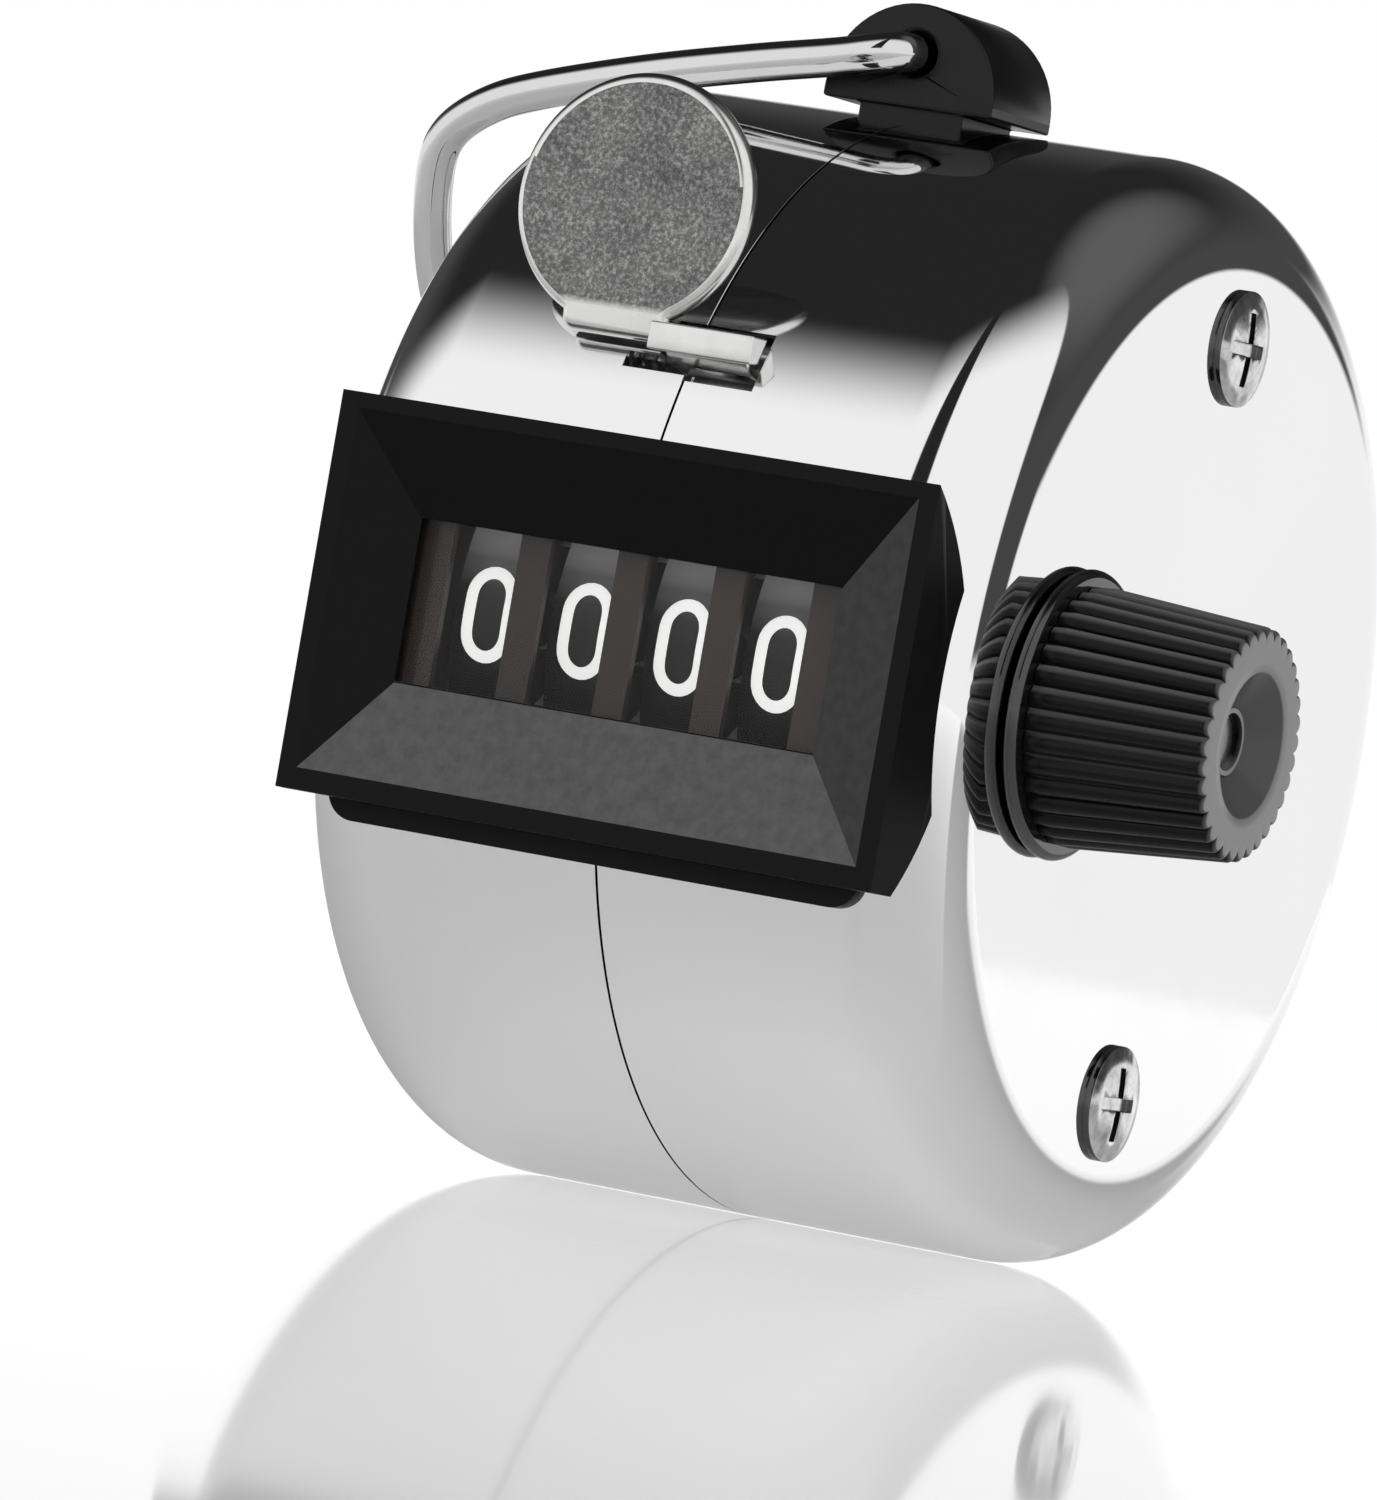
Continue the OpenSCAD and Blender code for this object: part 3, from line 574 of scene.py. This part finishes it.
def shell_profile():
    """(x, r) outline of a shell: its rim, rounded edge and side, and back along the inside."""
    r, w, e = CASE_R, CASE_HALF, EDGE_R
    outer = [(SEAM_HALF + SEAM_ROUND, r)] + [(x, r) for x in (2, 4, 6, 8)]
    outer += arc(w - e, r - e, e, 90, 0, 24)
    outer += [(w, r - e - k) for k in (3, 8, 12)] + [(w, AXIS_R)]
    inner = [(w - SHEET, AXIS_R), (w - SHEET, 10), (w - SHEET, r - e)]
    inner += arc(w - e, r - e, e - SHEET, 0, 90, 10)
    inner += [(SEAM_HALF, r - SHEET), (SEAM_HALF, r - SEAM_ROUND)]
    return outer + inner


def drum_normal(point):
    """Direction out of the drum's outer surface at a point in metres."""
    x, y, z = from_drum(point)
    out = math.hypot(y, z)
    side = math.copysign(max(abs(x) - (CASE_HALF - EDGE_R), 0), x)
    rim = max(out - (CASE_R - EDGE_R), 0)
    size = math.hypot(side, rim) or 1
    return Vector((side / size, y / out * rim / size, z / out * rim / size))


def follow_drum(mesh):
    """Shades a cut shell by the drum's own shape, apart from faces that don't lie along it."""
    mesh.shade_smooth()
    normals = []
    for face in mesh.polygons:
        for loop in face.loop_indices:
            ideal = drum_normal(mesh.vertices[mesh.loops[loop].vertex_index].co)
            normals.append(ideal if ideal.dot(face.normal) > 0.9 else face.normal.copy())
    mesh.normals_split_custom_set(normals)


def shells():
    """Both drawn shells with their openings, and the right one's lip."""
    foot = sum(corners("ring_block"), Vector()) / 2
    plug_z = sum(corners("bezel"), Vector()).z / 2
    front, behind = FRONT_CUT
    openings = [block((-PLUG_HALF_W, front, plug_z - PLUG_HALF_H),
                      (PLUG_HALF_W, behind, plug_z + PLUG_HALF_H))]
    openings += [block((x0, front, z0), (x1, behind, z1)) for x0, x1, z0, z1 in LEVER_SLOT]
    openings.append(block((foot.x - FOOT_HALF_W, foot.y - FOOT_HALF_D, TOP_CUT[0]),
                          (foot.x + FOOT_HALF_W, foot.y + FOOT_HALF_D, TOP_CUT[1])))
    axle = from_drum(joint_at("reset_turn"))
    holes = [rod(axle.y, axle.z, *SIDE_CUT, BUSH_HOLE_R)]
    holes += [rod(SCREW_Y, z, *SIDE_CUT, SCREW_HOLE_R) for z in (-SCREW_REACH, SCREW_REACH)]
    for name, side, cutters in (("left_shell", -1, openings), ("right_shell", 1, openings + holes)):
        profile = [(side * x, r) for x, r in shell_profile()]
        mesh = cut(mesh_from(*turned(profile, 384)), cutters)
        follow_drum(mesh)
        piece(name + "_skin", mesh, [CHROME], "case", [name])
    lip_r = CASE_R - 1.5 * SHEET
    inside, outside = lip_r - LIP_HALF_T, lip_r + LIP_HALF_T
    section = [(-LIP_HALF_W, inside), (LIP_HALF_W, inside), (LIP_HALF_W, outside), (-LIP_HALF_W, outside)]
    lip = cut(mesh_from(*turned(section, 192)), openings)
    shade(lip, 30)
    piece("right_shell_lip", lip, [CHROME], "case", ["right_shell"])


# --- finger ring ----------------------------------------------------------

WIRE_R = 0.78
RING_PIN_R = 0.7
PIN_OVERLAP = 0.2  # how far each pin runs into the wire's end
PIN_START = 0.9  # from the middle of the hinge


def finger_ring():
    """The bent wire, and the two pins that it turns on in the block."""
    left = corners("finger_ring")[0].x + WIRE_R
    hinge = from_drum(joint_at("ring_swing"))
    front, rear = hinge.y - 3.15, hinge.y + 3.2
    route = [
        (hinge.x, front, hinge.z), (0, -6.2, 24.27), (-0.9, -6.6, 24.02), (-2.6, -6.5, 23.66),
        (-5.93, -6.4, 23.02), (-10.58, -6.4, 21.98), (-15.2, -6.4, 20.7), (-17.4, -6.35, 19.8),
        (-18.9, -6.2, 18.6), (-19.45, -5.9, 17.2), (left, -5.1, 14.8), (left, -3.6, 12.3),
        (left, -1.2, 10.3), (left, 2, 9.3), (left, 5.3, 9.7), (-19.5, 8.2, 11.6), (-19, 10, 14.4),
        (-17.6, 10.5, 17.2), (-15.3, 10.4, 19.3), (-12.4, 10.2, 20.6), (-9.2, 9.6, 21.3), (-5.8, 7.9, 22.1),
        (-2.8, 5.2, 23.2), (-0.8, 2.9, 24.1), (0.1, 1.8, 24.32), (hinge.x, rear, hinge.z),
    ]

    def pin(y0, y1):
        return tube([at(hinge.x, y, hinge.z) for y in (y0, y1)], RING_PIN_R)

    parts = {
        "wire": tube(smooth_line([at(*p) for p in route], 12), WIRE_R),
        "pin_front": pin(front - PIN_OVERLAP, hinge.y - PIN_START),
        "pin_rear": pin(hinge.y + PIN_START, rear + PIN_OVERLAP),
    }
    for name, solid in parts.items():
        mesh = mesh_from(*solid, angle=35)
        piece("finger_ring_" + name, mesh, [RING_CHROME], "ring", ["finger_ring"])


# --- knob -----------------------------------------------------------------

RIBS = 34
RIB_DEPTH = 0.34
RIB_SHARPNESS = 0.62  # below 1 the ribs are wider than the grooves between them
GRIP_R = 5.1
GRIP_END_R = 4.55
GRIP_ROUND = 0.25
PLAIN_R = 3.6  # the end face is plain inside this radius
COLLAR_R = 5.35
COLLAR_ROUND = 0.3
COLLAR_W = 0.6
BORE_R = 1.0


def knob():
    """The fluted grip with its recessed end, and the smooth collar next to the case."""
    axle = from_drum(joint_at("reset_turn"))
    centre = at(0, axle.y, axle.z)
    collar = CASE_HALF + 0.1
    grip, tip = collar + COLLAR_W, corners("reset_knob")[1].x
    wall_l = tip - grip - GRIP_ROUND
    wall = [(grip + wall_l * k / 12, GRIP_R + (GRIP_END_R - GRIP_R) * k / 12) for k in range(1, 13)]
    profile = [(collar, BORE_R), (collar + 0.3, 4.6), (grip, 4.75), (grip + 0.05, 5.0)] + wall
    profile += arc(tip - GRIP_ROUND, GRIP_END_R - GRIP_ROUND, GRIP_ROUND, 90, 0, 6)[1:]
    end_face = [(0, 3.9), (0, 3.3)]
    recess = [(0, 2.86), (0.06, 2.78), (1.0, 1.52), (1.08, 1.4)]
    inner_ring = [(0.95, 1.3), (0.95, 1.12), (1.15, 1.02), (1.3, 1.02)]
    profile += [(tip - depth, r) for depth, r in end_face + recess + inner_ring]

    def ribbed(x, r, turn):
        if r < PLAIN_R or x < grip + 0.01:
            return r
        groove = RIB_DEPTH * (1 - abs(math.sin(turn * RIBS / 2)) ** RIB_SHARPNESS)
        fade = min(1, (r - PLAIN_R) / 0.5)
        return r - groove * fade

    mesh = mesh_from(*turned(profile, RIBS * 20, centre, ribbed), angle=50)
    piece("reset_knob_grip", mesh, [KNOB_BLACK], "reset", ["reset_knob"])
    rim = [(collar + COLLAR_ROUND + b, COLLAR_R + a) for a, b in arc(0, 0, COLLAR_ROUND, -90, 90, 12)]
    mesh = mesh_from(*turned([(collar, BORE_R)] + rim + [(grip, BORE_R)], 192, centre), angle=50)
    piece("reset_knob_collar", mesh, [COLLAR_BLACK], "reset", ["reset_knob"])


# --- thumb lever ----------------------------------------------------------

PAD = Vector((-3.5, -19.7, 16.35))  # middle of the pad's front
PAD_R = 5.0
PAD_T = 0.8
PAD_LEAN = math.radians(5)
PAD_FRONT_ROUND = 0.45
PAD_BACK_CHAMFER = 0.12
FRONT_FACING = -0.985  # only the pad's flat front faces -Y as fully as this
NECK_SIDES = (-2.06, 2.45)
NECK_LOW = -5.33
NECK_ROUND = 0.6
LEVER_LEFT = -0.9
BARREL_R = 1.3
PIN_HOLE_R = 0.76

# Outlines from the side, as (y, z).
TAB = [(-20.2, 10.75), (-19.45, 10.75), (-18.85, 11.85), (-20.2, 11.85)]
ARM = [(-19.9, 10.75), (-19.3, 10.3), (-16.6, 9.9), (-16.6, 11.4), (-18.5, 11.05), (-19.6, 11.1)]
CRANK = [(-16.9, 11.95), (-7.4, 12.15), (-6.6, 11.6), (-6.5, 10.4), (-7.4, 9.85), (-16.3, 9.45)]


def on_pad(across, up, depth):
    """A place given in the pad's own leaning plane, in metres."""
    lean_y, lean_z = math.sin(PAD_LEAN), math.cos(PAD_LEAN)
    return at(PAD.x + across, PAD.y + depth * lean_z + up * lean_y, PAD.z + up * lean_z - depth * lean_y)


def pad_outline():
    """Disc with a neck below it, anticlockwise from the neck's right side."""
    left, right = NECK_SIDES
    start, stop = (math.degrees(math.asin(x / PAD_R)) - 90 for x in (right, left))
    disc = arc(0, 0, PAD_R, start, 360 + stop, 120)
    corner = arc(left + NECK_ROUND, NECK_LOW + NECK_ROUND, NECK_ROUND, 180, 270, 6)
    return disc + [(left, NECK_LOW + NECK_ROUND)] + corner + [(right, NECK_LOW)]


def inset(outline, amount):
    """Anticlockwise outline moved inwards by an amount."""
    moved = []
    for k, (x, y) in enumerate(outline):
        ax, ay = outline[k - 1]
        bx, by = outline[(k + 1) % len(outline)]
        size = math.dist((ax, ay), (bx, by))
        moved.append((x - (by - ay) / size * amount, y + (bx - ax) / size * amount))
    return moved


def thumb_pad():
    """The pad and its neck: a sheet with a wide rounding in front and a narrow chamfer behind."""
    outline = pad_outline()
    count = len(outline)
    turns = [math.radians(90 - 15 * k) for k in range(7)]
    layers = [(PAD_FRONT_ROUND * (1 - math.cos(t)), PAD_FRONT_ROUND * (1 - math.sin(t))) for t in turns]
    layers += [(PAD_BACK_CHAMFER * k / 3, PAD_T - PAD_BACK_CHAMFER * (3 - k) / 3) for k in range(1, 4)]
    verts, faces = [], []
    for amount, depth in layers:
        verts += [on_pad(a, b, depth) for a, b in inset(outline, amount)]
    for layer in range(len(layers) - 1):
        low, high = layer * count, (layer + 1) * count
        for k in range(count):
            n = (k + 1) % count
            faces.append((low + k, low + n, high + n, high + k))
    faces.append(tuple(range(count)))
    faces.append(tuple(range(len(verts) - count, len(verts))))
    mesh = mesh_from(verts, faces, angle=50)
    piece("thumb_pad", mesh, [NICKEL, NICKEL_BRIGHT], "lever", ["thumb_lever"])
    for face in mesh.polygons:
        face.material_index = 0 if face.normal.y < FRONT_FACING else 1


def thumb_lever():
    """The pad, the tab and arm through the slot, and the barrel and crank inside."""
    thumb_pad()
    pivot = from_drum(joint_at("lever_press"))
    end = corners("thumb_lever")[1].x
    barrel = cut(mesh_from(*rod(pivot.y, pivot.z, LEVER_LEFT, end, BARREL_R)),
                 [rod(pivot.y, pivot.z, LEVER_LEFT - 1.1, end + 1, PIN_HOLE_R)])
    shade(barrel, 35)
    parts = [
        ("thumb_tab", prism(TAB, -1.6, 2.87, 0.1), NICKEL_BRIGHT),
        ("thumb_arm", prism(ARM, LEVER_LEFT, 2.6, 0.06), NICKEL_BRIGHT),
        ("lever_barrel", barrel, ZINC),
        ("lever_crank", prism(CRANK, end - PAD_T, end, 0.08), ZINC),
    ]
    for name, mesh, look in parts:
        piece(name, mesh, [look], "lever", ["thumb_lever"])


# --- numerals -------------------------------------------------------------

GLYPH_HALF_W = 0.5
GLYPH_HALF_H = 0.875
FIGURE_W = 1.68
FIGURE_H = 3.3
STROKE_HALF = 0.24
PRINT_LIFT = 0.02
RIM_INSIDE = 8.3  # only the wheel's rim lies outside this radius


def glyphs():
    """Centre lines of the ten figures, in a box 1 wide and 1.75 high about its middle."""
    w, h = GLYPH_HALF_W, GLYPH_HALF_H
    top = arc(0, h - w, w, 0, 180, 12)
    bottom = arc(0, -h + w, w, 180, 360, 12)
    small = 0.42
    eye = arc(0, h - small, small, 0, 360, 20)
    base = arc(0, -h + w, w, 0, 360, 20)
    return [
        [top + bottom + [(w, h - w)]],
        [[(-0.28, h - 0.3), (0.02, h), (0.02, -h)]],
        [arc(0, h - w, w, 170, -30, 12) + [(-w, -h), (w, -h)]],
        [arc(0, h - small, small, 160, -90, 14) + arc(0, -h + w, w, 85, -160, 16)],
        [[(0.2, -h), (0.2, h), (-w, -0.35), (w + 0.05, -0.35)]],
        [[(w - 0.05, h), (-0.38, h), (-0.42, 0.08)] + arc(0, -h + w + 0.04, w, 130, -160, 16)],
        [base, [(-w, -h + w), (-0.46, 0.1), (-0.3, 0.5), (0.1, h)]],
        [[(-w, h), (w, h), (-0.1, -h)]],
        [eye, base],
        [arc(0, h - w, w, 0, 360, 20), [(w, h - w), (0.46, -0.1), (0.3, -0.5), (-0.1, -h)]],
    ]


def evenly(points, closed, spacing):
    """The line with points added so that none are further apart than about the spacing."""
    dense = []
    for k in range(len(points) if closed else len(points) - 1):
        a, b = points[k], points[(k + 1) % len(points)]
        parts = max(1, round(math.dist(a, b) / spacing))
        dense += [(a[0] + (b[0] - a[0]) * j / parts, a[1] + (b[1] - a[1]) * j / parts) for j in range(parts)]
    return dense if closed else dense + [points[-1]]


def stroke(points, half, wrap):
    """Flat ribbon of a half-width along the points; wrap(a, b) puts its corners on the wheel."""
    closed = math.dist(points[0], points[-1]) < 1e-6
    line = evenly(points[:-1] if closed else points, closed, 0.12)
    verts, faces = [], []
    count = len(line)
    for k, (x, y) in enumerate(line):
        before = line[k - 1] if closed or k else line[0]
        after = line[(k + 1) % count] if closed or k < count - 1 else line[-1]
        size = math.dist(before, after) or 1
        nx, ny = (before[1] - after[1]) / size * half, (after[0] - before[0]) / size * half
        verts += [wrap(x + nx, y + ny), wrap(x - nx, y - ny)]
    for k in range(count if closed else count - 1):
        n = (k + 1) % count
        faces.append((2 * k, 2 * k + 1, 2 * n + 1, 2 * n))
    return verts, faces


def wheel_middle(body):
    """X of the middle of a number wheel's rim, in metres."""
    axle = joint_at(body + "_spin")
    places = [v.co for v in NODES[body + "_wheel"].data.vertices]
    rim = [v.x for v in places if math.hypot(v.y - axle.y, v.z - axle.z) > RIM_INSIDE * MM]
    return (min(rim) + max(rim)) / 2


def numerals():
    """Ten printed figures round each number wheel, with 0 in the window at rest."""
    for body in ("units", "tens", "hundreds", "thousands"):
        low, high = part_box(body + "_wheel")
        axle = joint_at(body + "_spin")
        radius = (high.z - low.z) / 2 + PRINT_LIFT * MM
        middle = wheel_middle(body)
        verts, faces = [], []
        for figure, strokes in enumerate(glyphs()):

            def wrap(a, b, turn=math.radians(36 * figure)):
                angle = b * MM / radius - turn
                out = Vector((0, -math.cos(angle), math.sin(angle))) * radius
                return Vector((middle + a * MM, axle.y, axle.z)) + out

            for line in strokes:
                sized = [(a * FIGURE_W, b * FIGURE_H / (2 * GLYPH_HALF_H)) for a, b in line]
                more_verts, more_faces = stroke(sized, STROKE_HALF, wrap)
                faces += [tuple(len(verts) + k for k in face) for face in more_faces]
                verts += more_verts
        mesh = bpy.data.meshes.new("numerals")
        mesh.from_pydata([tuple(v) for v in verts], [], faces)
        mesh.update()
        mesh.shade_smooth()
        # The figures' print glows a little: painted light.
        piece(body + "_numerals", mesh, [GLOWING_WHITE_PRINT], body)


# --- studio ---------------------------------------------------------------

OVERHEAD = (-0.30, 0.55, 0.78)
HAZE = (0.45, 0.45, 0.77)

# Dark areas of the studio: bearings in degrees over which each comes in and goes out, and the height,
# from 0 at the horizon to 1 overhead, over which it comes in.
DARK_AREAS = [
    ((18, 20), (46, 50), (0.02, 0.05)),  # upright on the right
    ((18, 20), (78, 88), (0.08, 0.12)),  # lower edge of the overhead area, between that upright and the back
    ((-101, -99), (-80, -78), (0.30, 0.36)),  # gap in front
    ((122, 125), (150, 156), (0.075, 0.11)),  # upright on the left
]


def world():
    """White studio with soft-edged dark areas for the chrome to mirror; the horizon stays white."""
    sky = bpy.data.worlds.new("studio")
    SCENE.world = sky
    sky.use_nodes = True
    nodes, links = sky.node_tree.nodes, sky.node_tree.links
    way = nodes.new("ShaderNodeTexCoord").outputs["Generated"]
    parts = nodes.new("ShaderNodeSeparateXYZ")
    links.new(way, parts.inputs[0])
    height = parts.outputs["Z"]

    def calc(kind, *values):
        node = nodes.new("ShaderNodeMath")
        node.operation = kind
        for socket, value in zip(node.inputs, values):
            if isinstance(value, float):
                socket.default_value = value
            else:
                links.new(value, socket)
        return node.outputs[0]

    def step(value, low, high):
        node = nodes.new("ShaderNodeMapRange")
        node.interpolation_type = "SMOOTHSTEP"
        node.inputs["From Min"].default_value = low
        node.inputs["From Max"].default_value = high
        links.new(value, node.inputs["Value"])
        return node.outputs["Result"]

    def towards(direction):
        """How close the view is to a direction, up to 1."""
        node = nodes.new("ShaderNodeVectorMath")
        node.operation = "DOT_PRODUCT"
        node.inputs[1].default_value = Vector(direction).normalized()
        links.new(way, node.inputs[0])
        return node.outputs["Value"]

    dark = calc("MULTIPLY", step(towards(OVERHEAD), 0.36, 0.68), step(height, 0.10, 0.24))
    bearing = calc("ARCTAN2", parts.outputs["Y"], parts.outputs["X"])
    for comes, goes, rises in DARK_AREAS:
        inside, outside = (step(bearing, math.radians(a), math.radians(b)) for a, b in (comes, goes))
        area = calc("MULTIPLY", inside, calc("SUBTRACT", 1.0, outside))
        dark = calc("MAXIMUM", dark, calc("MULTIPLY", area, step(height, *rises)))
    depth = calc("ADD", 0.935, calc("MULTIPLY", step(height, 0.25, 0.65), 0.045))
    depth = calc("SUBTRACT", depth, calc("MULTIPLY", step(towards(HAZE), 0.84, 0.99), 0.1))
    links.new(calc("SUBTRACT", 1.0, calc("MULTIPLY", dark, depth)), nodes["Background"].inputs["Color"])


def floor():
    """Pale polished floor just under the drum."""
    bpy.ops.mesh.primitive_circle_add(vertices=128, radius=0.6, fill_type="NGON", location=(0, 0, -0.02 * MM))
    ground = bpy.context.object
    ground.name = "floor"
    look = Look("pale_floor", Roughness=0.05, IOR=1.25, Emission_Color=(1, 1, 1, 1), Emission_Strength=0.25)
    look.colour(look.ramp(look.noise(40, 3), (0.3, grey(0.79)), (0.7, grey(0.81))))
    ground.data.materials.append(look.material)


AZIMUTH, TILT, ROLL = math.radians(26.25), math.radians(0.25), math.radians(9.79)
DISTANCE = 440
ASIDE, ABOVE = -6.75, -3.08  # the picture's middle, from the drum's centre
FOCAL_LENGTH = 265.416  # for a picture 36 mm high


def camera():
    ahead = Vector((-math.sin(AZIMUTH) * math.cos(TILT), math.cos(AZIMUTH) * math.cos(TILT), -math.sin(TILT)))
    level = Vector((math.cos(AZIMUTH), math.sin(AZIMUTH), 0))
    plumb = level.cross(ahead)
    right = level * math.cos(ROLL) + plumb * math.sin(ROLL)
    up = plumb * math.cos(ROLL) - level * math.sin(ROLL)
    data = bpy.data.cameras.new("camera")
    data.sensor_width = 36
    data.lens = FOCAL_LENGTH
    data.clip_start, data.clip_end = 0.01, 20
    eye = bpy.data.objects.new("camera", data)
    SCENE.collection.objects.link(eye)
    place = DRUM + (right * ASIDE + up * ABOVE - ahead * DISTANCE) * MM
    eye.matrix_world = Matrix.Translation(place) @ Matrix((right, up, -ahead)).transposed().to_4x4()
    SCENE.camera = eye


dress_cad_nodes()
shells()
finger_ring()
knob()
thumb_lever()
numerals()
round_edges("bezel", 0.14)
round_edges("ring_block", 0.12)
round_edges("case_screws", 0.06, steps=2)
camera()
world()
floor()
SCENE.view_settings.view_transform = "Standard"
